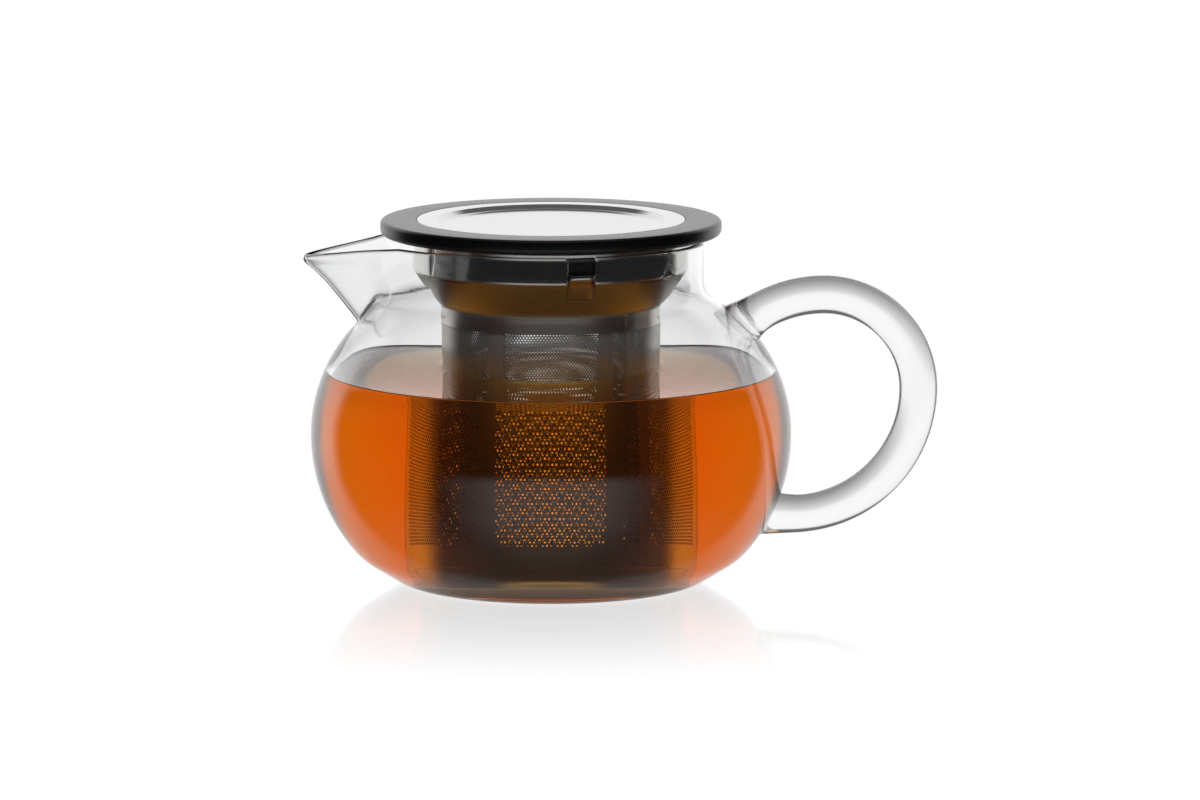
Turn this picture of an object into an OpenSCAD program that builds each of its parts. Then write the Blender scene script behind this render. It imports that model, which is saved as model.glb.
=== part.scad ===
// Glass teapot with a spring-held steel infuser and a round lid.
// The origin is the centre of the flat foot; +Z is up, -X is the spout and +X is the handle.

/* [Pot] */
// Largest outer radius of the glass belly
belly_r = 60; // [57:0.5:63]
// Height of the widest ring of the belly
belly_z = 37.5; // [36:0.5:39]
// Outer radius of the neck
neck_r = 38; // [37.5:0.1:38.5]
// Height of the glass rim
rim_z = 86.5; // [86:0.1:87]
// Thickness of the blown wall
glass_wall = 2; // [1.6:0.1:2.2]
// Thickness of the glass foot
foot_t = 3; // [2.4:0.1:4]

/* [Spout] */
// Distance from the pot's axis to the pouring tip
spout_reach = 61.9; // [60:0.1:64]
// Height of the pouring tip
spout_tip_z = 82.4; // [82:0.1:83.5]
// Half of the angle between the two sides of the lip
spout_half_angle = 28.5; // [26:0.5:31]
// Height where the underside of the lip leaves the shoulder
spout_root_z = 65; // [64:0.5:66]

/* [Handle] */
// Diameter of the solid glass rod
rod_d = 9.5; // [8:0.1:10.5]
// Distance from the pot's axis to the middle of the rod at its furthest
handle_reach = 91.6; // [88:0.1:94]
// Height of the furthest point of the rod
handle_z = 49; // [47:0.5:51]

/* [Infuser] */
// Outer radius of the polished collar
collar_r = 34.2; // [34:0.1:34.4]
// Thickness of the pressed steel collar
collar_t = 0.5; // [0.4:0.05:0.6]
// Outer radius of the flange that hangs on the glass rim
flange_r = 37.2; // [36.8:0.1:37.4]
// Outer radius of the perforated wall
strainer_r = 27.2; // [26.5:0.1:27.5]
// Thickness of the perforated sheet
sheet_t = 0.4; // [0.3:0.05:0.5]
// Height of the underside of the infuser
strainer_floor_z = 10; // [8:0.5:12]
// Number of spring tabs round the collar
tab_count = 3; // [2:1:4]
// Width of a spring tab
tab_w = 6.3; // [5:0.1:7]
// Turn of the first spring tab from the front
tab_turn = 13; // [0:1:30]

/* [Lid] */
// Outer radius of the plastic ring
lid_r = 42.5; // [42:0.1:43]
// Thickness of the plastic ring at its edge
lid_t = 3.8; // [3.6:0.1:4.2]
// Outer radius of the steel plate let into the lid
plate_r = 33.4; // [33:0.1:34]
// Depth of the plate's sunken floor
plate_depth = 1; // [0.8:0.1:1.2]
// Outer radius of the plug that fits the collar
plug_r = 33.2; // [33:0.1:33.3]

/* [Hidden] */
$fn = 96;

// Belly outline: arcs that meet without a kink, given by their radii.
shoulder_arc_r = 39;
lower_arc_r = 44;
corner_arc_r = 18;
foot_arc_r = 12;
neck_fillet_r = 6;
corner_from = -40;
corner_to = -58;
arc_steps = 8;

// Spout outline: how the reach grows from the root to the tip.
spout_root_reach = 47.5;
spout_straight_part = 7.8;
spout_band_z = spout_tip_z - 0.7;
spout_rows = 6;
spout_back_x = 30;
spout_tip_round = 1.6;
spout_channel_round = 0.6;
spout_sharp_reach = spout_reach + spout_tip_round / sin(spout_half_angle) - spout_tip_round;
spout_flare_part = spout_sharp_reach - spout_root_reach - spout_straight_part;

// Handle: the three arcs of the rod's centre line and the flared welds at its ends.
handle_top_arc_r = 23.5;
handle_root_arc_r = 32;
handle_root_sweep = 38;
handle_low_arc_r = 31.8;
weld_flare_d = 13.5;
weld_flare_h = 7;
weld_lap = 1.5;
weld_depth = 0.5;

// Infuser: heights of the collar's bends, and the slots that the spring tabs are cut from.
rest_gap = 0.1;
collar_low_z = 79.4;
collar_step = 0.3;
bowl_skirt_z = 66.5;
slot_low_z = 75;
slot_high_z = 85.6;
slot_gap = 0.3;
tab_root_r = 31.2;
tab_root_z = 75;
tab_top_r = 35.2;
tab_top_z = 81.7;
base_skirt_h = 3.5;

// Lid: the ring's rounding, the pocket for the plate, the plug and the seal.
lid_low_z = rim_z + 1.2;
lid_top_z = lid_low_z + lid_t;
lid_round = 1.2;
plate_t = 0.5;
plate_rim_w = 4.7;
plate_slope_w = 3;
plate_gap = 0.1;
web_t = 1.8;
plug_wall = 2;
plug_low_z = 80.4;
seal_in_r = 34.6;
seal_out_r = 37.4;
seal_groove = 0.5;

// Points along an arc, from one angle to another.
function arc(centre, radius, from, to, steps = arc_steps) =
    [for (i = [0:steps])
        let (angle = from + (to - from) * i / steps)
        centre + radius * [cos(angle), sin(angle)]];

// Centres of the belly's arcs, as [radius, height].
function shoulder_centre() = [belly_r - shoulder_arc_r, belly_z];
function lower_centre() = [belly_r - lower_arc_r, belly_z];
function corner_centre() =
    lower_centre() + (lower_arc_r - corner_arc_r) * [cos(corner_from), sin(corner_from)];

// Centre of the foot's arc: it touches the floor plane and the cone below the corner.
function foot_centre(inset, floor_z) =
    let (radius = foot_arc_r - inset,
         side = corner_arc_r - inset - radius,
         drop = floor_z + radius - corner_centre()[1])
    [corner_centre()[0] + (side - drop * sin(corner_to)) / cos(corner_to), floor_z + radius];

// Centre of the concave fillet between shoulder and neck.
function fillet_centre() =
    let (radial = neck_r + neck_fillet_r - shoulder_centre()[0],
         reach = shoulder_arc_r + neck_fillet_r)
    [neck_r + neck_fillet_r, belly_z + sqrt(reach * reach - radial * radial)];
function fillet_angle() =
    let (step = fillet_centre() - shoulder_centre())
    atan2(step[1], step[0]);

// Outline of the pot's outside (inset 0) or inside (inset one wall), up to a height.
function pot_outline(inset, floor_z, top_z) = concat(
    [[0, floor_z]],
    arc(foot_centre(inset, floor_z), foot_arc_r - inset, -90, corner_to, 4),
    arc(corner_centre(), corner_arc_r - inset, corner_to, corner_from, 4),
    arc(lower_centre(), lower_arc_r - inset, corner_from + 5, 0),
    arc(shoulder_centre(), shoulder_arc_r - inset, 5, fillet_angle()),
    arc(fillet_centre(), neck_fillet_r + inset, fillet_angle() - 190, -180, 5),
    [[neck_r - inset, top_z], [0, top_z]]
);

// Reach of the spout's sharp edge at a height.
function reach_at(z) =
    let (part = (z - spout_root_z) / (spout_band_z - spout_root_z))
    spout_root_reach + spout_straight_part * part + spout_flare_part * part * part;

// One level of the spout: a wedge with a rounded tip, its sides drawn in by the inset.
function spout_loop(z, inset, tip_round) =
    let (tip = reach_at(z) - inset / sin(spout_half_angle),
         round_x = tip - tip_round / sin(spout_half_angle),
         half_w = (tip - spout_back_x) * tan(spout_half_angle),
         swing = 90 - spout_half_angle)
    concat(
        [[-spout_back_x, half_w]],
        [for (i = [-2:2]) let (angle = 180 + swing * i / 2)
            [-round_x + tip_round * cos(angle), tip_round * sin(angle)]],
        [[-spout_back_x, -half_w]]
    );

// Height of the rim at a distance from the axis: it dips towards the tip.
function rim_at(x) =
    let (part = (abs(x) - neck_r) / (spout_reach - neck_r))
    rim_z - (rim_z - spout_tip_z) * max(0, min(1, part));

// The spout as one closed solid, levels stacked from the root to the dipping rim.
module spout_solid(inset, tip_round, lift) {
    levels = [for (i = [0:spout_rows])
        spout_root_z + (spout_band_z - spout_root_z) * i / spout_rows];
    loops = [for (z = levels) [for (p = spout_loop(z, inset, tip_round)) [p[0], p[1], z]]];
    top = [for (p = spout_loop(spout_band_z, inset, tip_round)) [p[0], p[1], rim_at(p[0]) + lift]];
    rings = concat(loops, [top]);
    count = len(top);
    points = [for (ring = rings) each ring];
    last = len(rings) - 1;
    sides = [for (r = [0:last - 1], i = [0:count - 1])
        let (a = r * count + i, b = r * count + (i + 1) % count)
        each [[a, a + count, b], [b, a + count, b + count]]];
    low_cap = [[for (i = [0:count - 1]) i]];
    top_cap = [for (i = [1:count - 2]) [last * count, last * count + i + 1, last * count + i]];
    polyhedron(points = points, faces = concat(sides, low_cap, top_cap));
}

// Blown glass body with its pinched pouring lip.
module glass_pot() {
    color([0.85, 0.92, 0.92, 0.35])
        difference() {
            union() {
                rotate_extrude() polygon(pot_outline(0, 0, rim_z));
                spout_solid(0, spout_tip_round, 0);
            }
            rotate_extrude() polygon(pot_outline(glass_wall, foot_t, rim_z + 1));
            spout_solid(glass_wall, spout_channel_round, 1);
        }
}

// A stretch of the handle's rod: an arc in the XZ plane about a centre, by its angles.
module rod_arc(centre, radius, from, sweep) {
    translate([centre[0], 0, centre[1]])
        rotate([90, 0, 0])
            rotate([0, 0, from])
                rotate_extrude(angle = sweep)
                    translate([radius, 0])
                        circle(d = rod_d);
}

// A flared end of the rod, widening towards the glass that it is welded to.
module rod_flare(end, tilt) {
    translate([end[0], 0, end[1]])
        rotate([0, tilt, 0])
            translate([0, 0, -weld_lap])
                cylinder(d1 = rod_d - weld_lap, d2 = weld_flare_d, h = weld_flare_h + weld_lap);
}

// Solid glass rod bent to a loop, its two ends flared against the belly.
module glass_handle() {
    top_centre = [handle_reach - handle_top_arc_r, handle_z];
    low_centre = [handle_reach - handle_low_arc_r, handle_z];
    root_centre = [top_centre[0], handle_z + handle_top_arc_r - handle_root_arc_r];
    root_angle = 90 + handle_root_sweep;
    root_end = root_centre + handle_root_arc_r * [cos(root_angle), sin(root_angle)];
    low_end = [low_centre[0], low_centre[1] - handle_low_arc_r];
    color([0.85, 0.92, 0.92, 0.35])
        difference() {
            union() {
                rod_arc(top_centre, handle_top_arc_r, 0, 90);
                rod_arc(root_centre, handle_root_arc_r, 90, handle_root_sweep);
                rod_arc(low_centre, handle_low_arc_r, -90, 90);
                rod_flare(root_end, 270 - handle_root_sweep);
                rod_flare(low_end, -90);
            }
            rotate_extrude() polygon(pot_outline(weld_depth, 0, rim_z));
        }
}

// Sheet steel cross-section of the collar: flange, wall, step, bowl and lower skirt.
function collar_outline(inset) = [
    [collar_r - inset, rim_z + rest_gap],
    [collar_r - inset, collar_low_z],
    [collar_r - collar_step - inset, collar_low_z - 0.4],
    [collar_r - 0.9 - inset, 78.1],
    [collar_r - 2.2 - inset, 76.2],
    [collar_r - 3.9 - inset, 73.9],
    [collar_r - 5.4 - inset, 71.9],
    [strainer_r + 0.9 - inset, 70.4],
    [strainer_r + collar_t - inset, 69],
    [strainer_r + collar_t - inset, bowl_skirt_z]
];

module collar_shell() {
    outer = collar_outline(0);
    inner = collar_outline(collar_t);
    low_z = rim_z + rest_gap;
    rotate_extrude()
        polygon(concat(
            [[flange_r, low_z + collar_t], [flange_r, low_z]],
            outer,
            [for (i = [len(inner) - 1:-1:1]) inner[i]],
            [[collar_r - collar_t, low_z + collar_t]]
        ));
}

// A spring tab: a flat strip that rises outwards from the bowl towards the glass neck.
module spring_tab() {
    lean = atan2(tab_top_r - tab_root_r, tab_top_z - tab_root_z);
    length = norm([tab_top_r - tab_root_r, tab_top_z - tab_root_z]);
    translate([tab_root_r - collar_t, 0, tab_root_z])
        rotate([0, lean, 0])
            translate([0, -tab_w / 2, 0])
                cube([collar_t, tab_w, length]);
}

// Polished collar with its flange, bowl and three sprung tabs.
module infuser_collar() {
    slot_w = tab_w + 2 * slot_gap;
    color([0.75, 0.75, 0.74])
        union() {
            difference() {
                collar_shell();
                for (i = [0:tab_count - 1])
                    rotate([0, 0, -90 + tab_turn + i * 360 / tab_count])
                        translate([strainer_r + 2, -slot_w / 2, slot_low_z])
                            cube([collar_r, slot_w, slot_high_z - slot_low_z]);
            }
            for (i = [0:tab_count - 1])
                rotate([0, 0, -90 + tab_turn + i * 360 / tab_count])
                    spring_tab();
        }
}

// Perforated tube, drawn here as plain sheet.
module strainer_wall() {
    low_z = strainer_floor_z + sheet_t;
    color([0.6, 0.57, 0.52])
        translate([0, 0, low_z])
            difference() {
                cylinder(r = strainer_r, h = bowl_skirt_z + 2.5 - low_z);
                translate([0, 0, -1])
                    cylinder(r = strainer_r - sheet_t, h = bowl_skirt_z + 5 - low_z);
            }
}

// Shallow pressed cap welded over the bottom of the tube.
module strainer_base() {
    color([0.5, 0.48, 0.45])
        translate([0, 0, strainer_floor_z])
            difference() {
                cylinder(r = strainer_r + sheet_t, h = base_skirt_h);
                translate([0, 0, sheet_t])
                    cylinder(r = strainer_r, h = base_skirt_h);
            }
}

// Black plastic moulding: outer ring, web under the plate, and the plug's skirt.
module lid_ring() {
    pocket_r = plate_r + plate_gap;
    floor_z = lid_top_z - plate_depth - plate_t - plate_gap;
    ledge_z = lid_top_z - plate_t - plate_gap;
    sunk_r = plate_r - plate_rim_w + plate_gap;
    color([0.06, 0.06, 0.07])
        rotate_extrude()
            difference() {
                polygon(concat(
                    [[0, floor_z], [sunk_r, floor_z], [sunk_r, ledge_z], [pocket_r, ledge_z],
                     [pocket_r, lid_top_z]],
                    arc([lid_r - lid_round, lid_top_z - lid_round], lid_round, 90, 0, 5),
                    arc([lid_r - lid_round, lid_low_z + lid_round], lid_round, 0, -90, 5),
                    [[plug_r, lid_low_z], [plug_r, plug_low_z], [plug_r - plug_wall, plug_low_z],
                     [plug_r - plug_wall, floor_z - web_t], [0, floor_z - web_t]]
                ));
                translate([seal_in_r, lid_low_z - seal_groove])
                    square([seal_out_r - seal_in_r, 2 * seal_groove]);
            }
}

// Pressed steel plate with a flat rim and a sunken floor.
module lid_plate() {
    rim_in_r = plate_r - plate_rim_w;
    floor_r = rim_in_r - plate_slope_w;
    low_z = lid_top_z - plate_depth;
    color([0.8, 0.8, 0.79])
        rotate_extrude()
            polygon([
                [0, low_z], [floor_r, low_z], [rim_in_r, lid_top_z], [plate_r, lid_top_z],
                [plate_r, lid_top_z - plate_t], [rim_in_r, lid_top_z - plate_t],
                [floor_r, low_z - plate_t], [0, low_z - plate_t]
            ]);
}

// Silicone ring let into the underside of the lid, resting on the infuser's flange.
module lid_seal() {
    low_z = rim_z + 2 * rest_gap + collar_t;
    color([0.2, 0.2, 0.2])
        translate([0, 0, low_z])
            difference() {
                cylinder(r = seal_out_r, h = lid_low_z + seal_groove - low_z);
                translate([0, 0, -1])
                    cylinder(r = seal_in_r, h = lid_t);
            }
}

glass_pot();
glass_handle();
infuser_collar();
strainer_wall();
strainer_base();
lid_ring();
lid_plate();
lid_seal();
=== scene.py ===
"""Looks of a glass teapot with a steel infuser and a black lid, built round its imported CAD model.

Lengths are in metres, in the frame of the CAD: +Z up, the spout towards -X, the handle towards +X.
"""
import math

import bpy
import numpy as np
from mathutils import Matrix, Vector


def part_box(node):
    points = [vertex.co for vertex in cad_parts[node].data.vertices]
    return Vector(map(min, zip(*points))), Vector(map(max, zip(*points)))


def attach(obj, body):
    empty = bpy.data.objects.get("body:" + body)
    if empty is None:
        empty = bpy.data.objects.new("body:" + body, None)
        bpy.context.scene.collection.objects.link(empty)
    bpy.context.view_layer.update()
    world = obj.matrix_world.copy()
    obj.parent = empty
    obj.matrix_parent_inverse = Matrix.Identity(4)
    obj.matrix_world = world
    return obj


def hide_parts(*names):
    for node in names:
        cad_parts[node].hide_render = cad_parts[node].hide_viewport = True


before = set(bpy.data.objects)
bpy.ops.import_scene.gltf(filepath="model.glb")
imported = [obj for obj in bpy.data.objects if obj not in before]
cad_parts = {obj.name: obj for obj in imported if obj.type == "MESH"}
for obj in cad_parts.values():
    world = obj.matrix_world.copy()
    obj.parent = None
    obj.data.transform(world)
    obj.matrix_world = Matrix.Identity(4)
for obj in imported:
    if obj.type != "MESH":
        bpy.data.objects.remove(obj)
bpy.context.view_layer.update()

MM = 0.001

# --- Driving sizes, read from the frame's own boxes where a box gives them. ---
POT_LOW, POT_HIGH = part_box("glass_pot")
WALL_LOW, WALL_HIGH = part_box("strainer_wall")
BASE_LOW, BASE_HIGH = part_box("strainer_base")
COLLAR_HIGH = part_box("infuser_collar")[1]
RING_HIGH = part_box("lid_ring")[1]
PLATE_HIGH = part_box("lid_plate")[1]
HANDLE_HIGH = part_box("glass_handle")[1]

RIM_Z = POT_HIGH.z
BELLY_R = POT_HIGH.x
SPOUT_REACH = -POT_LOW.x
LID_R = RING_HIGH.x
LID_TOP_Z = RING_HIGH.z
PLATE_R = PLATE_HIGH.x
STRAINER_R = WALL_HIGH.x
FLANGE_R = COLLAR_HIGH.x
HANDLE_REACH = HANDLE_HIGH.x


# --- Curves and meshes. ---
def arc(centre, radius, start, end, steps):
    """Points (radius, height) along an arc, angles in degrees."""
    angles = np.radians(np.linspace(start, end, steps + 1))
    return [(centre[0] + radius * math.cos(a), centre[1] + radius * math.sin(a)) for a in angles]


def rounded(corners, steps=5):
    """A closed outline whose corners (r, z, rounding) are turned into arcs."""
    points = []
    count = len(corners)
    for i, (r, z, rounding) in enumerate(corners):
        here = Vector((r, z))
        before = Vector(corners[i - 1][:2]) - here
        after = Vector(corners[(i + 1) % count][:2]) - here
        if rounding <= 0:
            points.append((r, z))
            continue
        half = before.angle(after) / 2
        reach = min(rounding / math.tan(half), before.length * 0.49, after.length * 0.49)
        radius = reach * math.tan(half)
        centre = here + (before.normalized() + after.normalized()).normalized() * (radius / math.sin(half))
        start = here + before.normalized() * reach - centre
        end = here + after.normalized() * reach - centre
        turn = start.angle_signed(end)
        for k in range(steps + 1):
            swung = start.copy()
            swung.rotate(Matrix.Rotation(-turn * k / steps, 2))
            points.append(tuple(centre + swung))
    return points


def link_mesh(name, vertices, faces, sharp_angle=35):
    """A named object from vertices and faces, shaded smooth except across sharp edges."""
    mesh = bpy.data.meshes.new(name)
    mesh.from_pydata([tuple(v) for v in vertices], [], [tuple(f) for f in faces])
    mesh.validate()
    mesh.shade_smooth()
    mesh.set_sharp_from_angle(angle=math.radians(sharp_angle))
    piece = bpy.data.objects.new(name, mesh)
    bpy.context.scene.collection.objects.link(piece)
    return piece


def lathe(name, outline, segments=256, sharp_angle=35):
    """A closed outline (r, z) turned round the Z axis; points on the axis become one vertex."""
    angles = np.linspace(0, 2 * math.pi, segments, endpoint=False)
    vertices, rings = [], []
    for r, z in outline:
        if r < 1e-7:
            rings.append([len(vertices)] * segments)
            vertices.append((0, 0, z))
        else:
            rings.append(list(range(len(vertices), len(vertices) + segments)))
            vertices.extend((r * math.cos(a), r * math.sin(a), z) for a in angles)
    faces = []
    for low, high in zip(rings, rings[1:] + rings[:1]):
        if low[0] == low[1] and high[0] == high[1]:
            continue
        for i in range(segments):
            j = (i + 1) % segments
            corners = [low[i], low[j], high[j], high[i]]
            faces.append(list(dict.fromkeys(corners)))
    return link_mesh(name, vertices, faces, sharp_angle)


# --- Glass pot: a lathed belly whose neck is drawn out into a spout. ---
BELLY_Z = 37.5 * MM
NECK_R = 38 * MM
GLASS_WALL = 2 * MM
FOOT_T = 3 * MM
SHOULDER_ARC = 39 * MM
LOWER_ARC = 44 * MM
CORNER_ARC = 18 * MM
FOOT_ARC = 12 * MM
NECK_FILLET = 6 * MM
CORNER_FROM = -40
CORNER_TO = -58

SPOUT_FROM_Z = 45 * MM
SPOUT_ROOT_Z = 65 * MM
SPOUT_ROOT_REACH = 47.5 * MM
SPOUT_TIP_Z = 82.4 * MM
SPOUT_HALF_ANGLE = math.radians(28.5)
SPOUT_ROUND_ANGLE = math.radians(3.6)
SPOUT_BLEND_KEEL = 1.6 * MM
SPOUT_BLEND_SIDE = 16 * MM
SPOUT_BLEND_TURN = math.radians(20)
SPOUT_FADE_FROM = math.radians(40)
SPOUT_FADE_TO = math.radians(80)
SPOUT_DIP_FROM_Z = 72 * MM
LIP_HEIGHT = 4 * MM
LIP_CURL = 2.4 * MM
LIP_LEAD = 1.9 * MM
NECK_WALL = 1.15 * MM
THIN_FROM_Z = 54 * MM
THIN_TO_Z = 66 * MM
RIM_ROUND = 0.7 * MM
POT_COLUMNS = 264
EVEN_SHARE = 0.4  # of the columns' spacing; the rest crowds them towards the spout
RIM_STEPS = 8


def polar(centre, radius, degrees):
    """The point at a radius and an angle from a centre in the plane."""
    return (centre[0] + radius * math.cos(math.radians(degrees)),
            centre[1] + radius * math.sin(math.radians(degrees)))


def belly_outline(inset, floor_z, top_z):
    """Outline (r, z) of the belly from the middle of the floor to the rim, drawn in by inset."""
    shoulder = (BELLY_R - SHOULDER_ARC, BELLY_Z)
    lower = (BELLY_R - LOWER_ARC, BELLY_Z)
    corner = polar(lower, LOWER_ARC - CORNER_ARC, CORNER_FROM)
    foot_arc = FOOT_ARC - inset
    side = CORNER_ARC - inset - foot_arc
    drop = floor_z + foot_arc - corner[1]
    slope = math.radians(CORNER_TO)
    foot = (corner[0] + (side - drop * math.sin(slope)) / math.cos(slope), floor_z + foot_arc)
    radial = NECK_R + NECK_FILLET - shoulder[0]
    fillet = (NECK_R + NECK_FILLET,
              BELLY_Z + math.sqrt((SHOULDER_ARC + NECK_FILLET) ** 2 - radial ** 2))
    turn = math.degrees(math.atan2(fillet[1] - shoulder[1], fillet[0] - shoulder[0]))
    foot_flat = [(foot[0] * k / 6, floor_z) for k in range(6)]
    neck = [(NECK_R - inset, z) for z in np.linspace(fillet[1], top_z, 16)]
    return (foot_flat
            + arc(foot, foot_arc, -90, CORNER_TO, 6)
            + arc(corner, CORNER_ARC - inset, CORNER_TO, CORNER_FROM, 6)
            + arc(lower, LOWER_ARC - inset, CORNER_FROM, 0, 16)[1:]
            + arc(shoulder, SHOULDER_ARC - inset, 0, turn, 44)[1:]
            + arc(fillet, NECK_FILLET + inset, turn - 180, -180, 12)[1:]
            + neck[1:])


def smooth_max(a, b, width):
    """The larger of a and b, blended over width where they are close."""
    overlap = np.maximum(width - np.abs(a - b), 0) / width
    return np.maximum(a, b) + overlap * overlap * width / 4


def spout_radius(turn, z):
    """Radius of the spout's wedge in a direction (turn from the spout's axis) at a height."""
    part = (z - SPOUT_ROOT_Z) / (RIM_Z - RIM_ROUND - SPOUT_ROOT_Z)
    curl = np.clip((z - RIM_Z + RIM_ROUND + LIP_HEIGHT) / LIP_HEIGHT, 0, 1)
    reach = SPOUT_ROOT_REACH + (SPOUT_REACH + LIP_LEAD - SPOUT_ROOT_REACH) * part - LIP_CURL * curl ** 2
    bend = np.sqrt(turn ** 2 + SPOUT_ROUND_ANGLE ** 2)
    side = np.sin(np.minimum(SPOUT_HALF_ANGLE + bend, math.pi / 2))
    wedge = reach * math.sin(SPOUT_HALF_ANGLE + SPOUT_ROUND_ANGLE) / side
    fade = np.clip((np.abs(turn) - SPOUT_FADE_FROM) / (SPOUT_FADE_TO - SPOUT_FADE_FROM), 0, 1)
    return wedge * (1 - fade * fade * (3 - 2 * fade))


def drawn_out(outline, turns):
    """Rings of points: the outline swept round and drawn out into the spout."""
    points = []
    away = np.clip(np.abs(turns) / SPOUT_BLEND_TURN, 0, 1)
    away = away * away * (3 - 2 * away)
    blend = SPOUT_BLEND_KEEL + (SPOUT_BLEND_SIDE - SPOUT_BLEND_KEEL) * away
    for r, z in outline:
        radius = np.full_like(turns, r)
        if z > SPOUT_FROM_Z:
            radius = smooth_max(radius, spout_radius(turns, z), blend)
        x = -radius * np.cos(turns)
        outward = np.clip((-x - NECK_R) / (SPOUT_REACH - NECK_R), 0, 1)
        dip_share = np.clip((z - SPOUT_DIP_FROM_Z) / (RIM_Z - SPOUT_DIP_FROM_Z), 0, 1)
        height = z - (RIM_Z - SPOUT_TIP_Z) * outward * dip_share ** 2
        points.append(np.stack([x, -radius * np.sin(turns), height], axis=1))
    return np.array(points)


def outward_normals(rings):
    """Unit normals of a grid of rings whose columns close on themselves."""
    steps = np.diff(rings, axis=0)
    lengths = np.linalg.norm(steps, axis=2, keepdims=True)
    slopes = steps / np.maximum(lengths, 1e-12)
    inside = (slopes[1:] * lengths[:-1] + slopes[:-1] * lengths[1:]) / (lengths[1:] + lengths[:-1])
    along = np.concatenate([slopes[:1], inside, slopes[-1:]])
    around = np.roll(rings, -1, axis=1) - np.roll(rings, 1, axis=1)
    normals = np.cross(around, along)
    return normals / np.maximum(np.linalg.norm(normals, axis=2, keepdims=True), 1e-12)


def build_pot():
    """The blown glass body: outer skin, round rim and inner skin in one closed mesh."""
    count = POT_COLUMNS
    share = np.linspace(-0.5, 0.5, count, endpoint=False)
    turns = 2 * math.pi * (EVEN_SHARE * share + 4 * (1 - EVEN_SHARE) * share ** 3)
    top_z = RIM_Z - RIM_ROUND
    outer = drawn_out(belly_outline(0, 0, top_z), turns)
    plain_inner = drawn_out(belly_outline(GLASS_WALL, FOOT_T, top_z), turns)
    thin = np.clip((outer[:, :, 2:] - THIN_FROM_Z) / (THIN_TO_Z - THIN_FROM_Z), 0, 1)
    wall = GLASS_WALL + (NECK_WALL - GLASS_WALL) * thin * thin * (3 - 2 * thin)
    inner = np.where(thin > 0, outer - wall * outward_normals(outer), plain_inner)
    middle = (outer[-1] + inner[-1]) / 2
    half = (outer[-1] - inner[-1]) / 2
    rim = []
    for k in range(1, RIM_STEPS):
        angle = math.pi * k / RIM_STEPS
        rim.append(middle + half * math.cos(angle) + np.array([0, 0, RIM_ROUND * math.sin(angle)]))
    rings = list(outer) + rim + list(inner[::-1])
    vertices = np.concatenate([rings[0][:1]] + rings[1:-1] + [rings[-1][:1]])
    last = len(vertices) - 1
    faces = []
    for i in range(count):
        j = (i + 1) % count
        faces.append((0, 1 + j, 1 + i))
        faces.append((last, last - count + i, last - count + j))
    for k in range(len(rings) - 3):
        low = 1 + k * count
        for i in range(count):
            j = (i + 1) % count
            faces.append((low + i, low + j, low + count + j, low + count + i))
    return link_mesh("pot_body", vertices, faces, 80)


# --- Handle: a round rod swept along three arcs, its ends flared into the belly. ---
ROD_R = 4.75 * MM
HANDLE_Z = 49 * MM
HANDLE_TOP_ARC = 23.5 * MM
HANDLE_ROOT_ARC = 32 * MM
HANDLE_ROOT_SWEEP = 46
HANDLE_LOW_ARC = 31.8 * MM
UPPER_FLARE = 2.1 * MM
LOWER_FLARE = 0.4 * MM
FLARE_LENGTH = 5 * MM
LOWER_SLANT = 0.75  # lean of the cross-sections at the rod's lower end
TAIL_END_X = 53.5 * MM
ROD_SIDES = 64


def handle_path():
    """Points (x, z) of the rod's centre line, from the upper root to the lower one."""
    widest = HANDLE_REACH - ROD_R
    top = (widest - HANDLE_TOP_ARC, HANDLE_Z)
    root = (top[0], HANDLE_Z + HANDLE_TOP_ARC - HANDLE_ROOT_ARC)
    low = (widest - HANDLE_LOW_ARC, HANDLE_Z)
    end_z = HANDLE_Z - HANDLE_LOW_ARC
    tail = [(x, end_z) for x in np.linspace(low[0], TAIL_END_X, 9)[1:]]
    return (arc(root, HANDLE_ROOT_ARC, 90 + HANDLE_ROOT_SWEEP, 90, 24)
            + arc(top, HANDLE_TOP_ARC, 90, 0, 40)[1:]
            + arc(low, HANDLE_LOW_ARC, 0, -90, 48)[1:]
            + tail)


def build_handle():
    """The solid glass rod, closed at both ends. The lower one stops inside the belly's wall; the upper
    one reaches through it, up to 3.8 mm into the hollow."""
    path = handle_path()
    sides = ROD_SIDES
    lengths = np.concatenate([[0], np.cumsum([math.dist(a, b) for a, b in zip(path, path[1:])])])
    total = lengths[-1]
    vertices = []
    for i, (x, z) in enumerate(path):
        before, after = path[max(i - 1, 0)], path[min(i + 1, len(path) - 1)]
        along = Vector((after[0] - before[0], after[1] - before[1])).normalized()
        across = Vector((-along.y, along.x))
        upper = UPPER_FLARE * math.exp(-((lengths[i] / FLARE_LENGTH) ** 2))
        lower = LOWER_FLARE * math.exp(-(((total - lengths[i]) / FLARE_LENGTH) ** 2))
        radius = ROD_R + upper + lower
        slant = LOWER_SLANT * math.exp(-(total - lengths[i]) / FLARE_LENGTH)
        for k in range(sides):
            a = 2 * math.pi * k / sides
            out = across * (radius * math.cos(a))
            vertices.append((x + out.x + slant * out.y, radius * math.sin(a), z + out.y))
    faces = [tuple(range(sides))]
    rings = len(path)
    for i in range(rings - 1):
        for k in range(sides):
            n = (k + 1) % sides
            faces.append((i * sides + n, i * sides + k, (i + 1) * sides + k, (i + 1) * sides + n))
    faces.append(tuple(reversed(range((rings - 1) * sides, rings * sides))))
    return link_mesh("handle_rod", vertices, faces, 60)


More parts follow.
